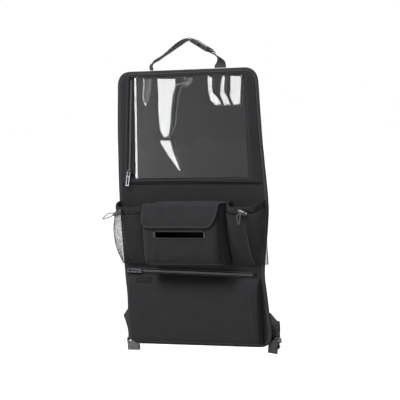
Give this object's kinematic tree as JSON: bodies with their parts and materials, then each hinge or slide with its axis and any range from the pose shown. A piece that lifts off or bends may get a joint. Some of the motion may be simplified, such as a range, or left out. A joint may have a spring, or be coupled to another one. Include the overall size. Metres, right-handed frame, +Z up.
{
  "type": "car seat back organizer",
  "caption": "Hanging car seat back organizer with a clear tablet window, tissue box pocket, mesh-sided bottle pockets, zip pocket and buckled straps.",
  "frame": {"origin": "centre of the panel's back face, which lies against the seat back", "axes": "+Z up along the panel, +Y out of the back face towards the seat, +X to the right as seen from the front"},
  "size_m": [0.4274, 0.0925, 0.7417],
  "materials": {
    "panel_fabric": "black woven polyester with a fine plain weave",
    "binding_tape": "black ribbed binding tape",
    "clear_film": "clear soft vinyl film, slightly wavy",
    "pocket_mesh": "light grey knitted mesh",
    "zip_tape": "black zip tape",
    "zip_coil": "black nylon coil",
    "zip_metal": "bright plated metal",
    "buckle_plastic": "black moulded acetal, satin",
    "webbing": "black ribbed webbing",
    "drawcord": "black braided elastic cord",
    "touch_tape": "black hook and loop tape",
    "label_cloth": "plain woven label, blank"
  },
  "bodies": {
    "root": {"back_panel": "panel_fabric", "edge_binding": "binding_tape", "tablet_pocket_frame": "panel_fabric", "tablet_zip_tape_left": "zip_tape", "tablet_zip_tape_right": "zip_tape", "tissue_pocket_body": "panel_fabric", "tissue_pocket_flap": "panel_fabric", "tissue_hook_patch": "touch_tape", "tissue_loop_patch": "touch_tape", "left_pocket_front": "panel_fabric", "left_pocket_hem": "panel_fabric", "right_pocket_front": "panel_fabric", "right_pocket_hem": "panel_fabric", "lower_pocket_front": "panel_fabric", "lower_zip_tape_upper": "zip_tape", "lower_zip_tape_lower": "zip_tape", "tablet_window": "clear_film", "left_pocket_mesh": "pocket_mesh", "right_pocket_mesh": "pocket_mesh", "tablet_zip_coil": "zip_coil", "lower_zip_coil": "zip_coil", "left_cord_lock_spring": "zip_metal", "right_cord_lock_spring": "zip_metal", "left_cord_lock": "buckle_plastic", "right_cord_lock": "buckle_plastic", "top_buckle_female": "buckle_plastic", "top_buckle_male": "buckle_plastic", "lower_buckle_female": "buckle_plastic", "lower_buckle_male": "buckle_plastic", "top_strap_left": "webbing", "top_strap_right": "webbing", "lower_strap_left": "webbing", "lower_strap_right": "webbing", "left_drawcord": "drawcord", "right_drawcord": "drawcord", "blank_label": "label_cloth"},
    "tablet_slider": {"tablet_zip_slider": "zip_metal"},
    "tablet_puller": {"tablet_zip_puller": "zip_metal"},
    "lower_slider": {"lower_zip_slider": "zip_metal"},
    "lower_puller": {"lower_zip_puller": "zip_metal"},
    "left_plunger": {"left_cord_lock_plunger": "buckle_plastic"},
    "right_plunger": {"right_cord_lock_plunger": "buckle_plastic"}
  },
  "joints": [
    {"name": "tablet_zip_slide", "type": "slide", "parent": "root", "child": "tablet_slider", "axis": [0.0851, 0, 0.9964], "range_m": [0, 0.21], "deforming": ["tablet_zip_coil"]},
    {"name": "tablet_puller_hinge", "type": "hinge", "parent": "tablet_slider", "child": "tablet_puller", "pos_m": [-0.162, -0.01131, 0.088], "axis": [-0.981, 0, 0.194], "range_deg": [0, 150]},
    {"name": "lower_zip_slide", "type": "slide", "parent": "root", "child": "lower_slider", "axis": [0.9997, 0, -0.0244], "range_m": [0, 0.32], "deforming": ["lower_zip_coil"]},
    {"name": "lower_puller_hinge", "type": "hinge", "parent": "lower_slider", "child": "lower_puller", "pos_m": [-0.176, -0.01131, -0.147], "axis": [-0.0244, 0, -0.9997], "range_deg": [0, 150]},
    {"name": "left_plunger_press", "type": "slide", "parent": "root", "child": "left_plunger", "axis": [0.9463, 0, 0.3233], "range_m": [0, 0.004], "stiffness_N_per_m": 400, "deforming": ["left_cord_lock_spring"]},
    {"name": "right_plunger_press", "type": "slide", "parent": "root", "child": "right_plunger", "axis": [-0.9463, 0, 0.3233], "range_m": [0, 0.004], "stiffness_N_per_m": 400, "deforming": ["right_cord_lock_spring"]}
  ]
}
